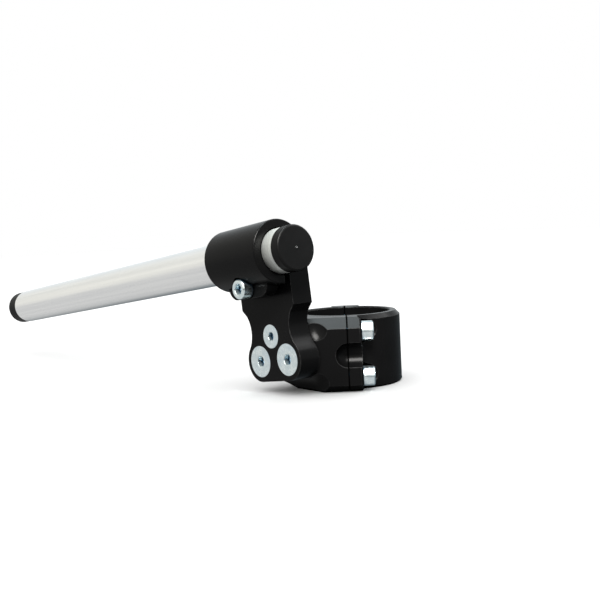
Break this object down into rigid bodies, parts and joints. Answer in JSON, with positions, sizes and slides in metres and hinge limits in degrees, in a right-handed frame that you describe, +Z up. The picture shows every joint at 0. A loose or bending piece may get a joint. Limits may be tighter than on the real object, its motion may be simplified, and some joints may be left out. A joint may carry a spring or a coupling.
{
  "type": "clip-on handlebar",
  "caption": "Raised clip-on handlebar for one side: split fork clamp with a side pad, a bolted riser plate with a pinch boss, and a straight bar that droops outboard.",
  "frame": {"origin": "centre of the fork bore, at half the height of the clamp", "axes": "+Z up the fork leg towards the bar, +X inboard along the bar's plan direction, -Y towards the riser; the bar runs outboard to -X and droops"},
  "size_m": [0.3347, 0.1008, 0.088],
  "materials": {
    "bar_aluminium": "drawn, clear anodised",
    "plug_plastic": "moulded, matte",
    "black_anodised": "satin black anodised",
    "zinc_steel": "bright zinc plated"
  },
  "bodies": {
    "bracket": {"riser": "black_anodised", "pinch_screw": "zinc_steel", "riser_screw_upper": "zinc_steel", "riser_screw_left": "zinc_steel", "riser_screw_right": "zinc_steel", "clamp_body": "black_anodised", "clamp_cap": "black_anodised", "clamp_bolt_near_upper": "zinc_steel", "clamp_bolt_near_lower": "zinc_steel", "clamp_bolt_far_upper": "zinc_steel", "clamp_bolt_far_lower": "zinc_steel"},
    "bar": {"bar_tube": "bar_aluminium", "inner_plug": "plug_plastic", "outer_plug": "plug_plastic"}
  },
  "joints": [
    {"name": "bar_slide", "type": "slide", "parent": "bracket", "child": "bar", "axis": [-0.9919, 0, -0.1271], "range_m": [-0.02, 0.007]}
  ]
}
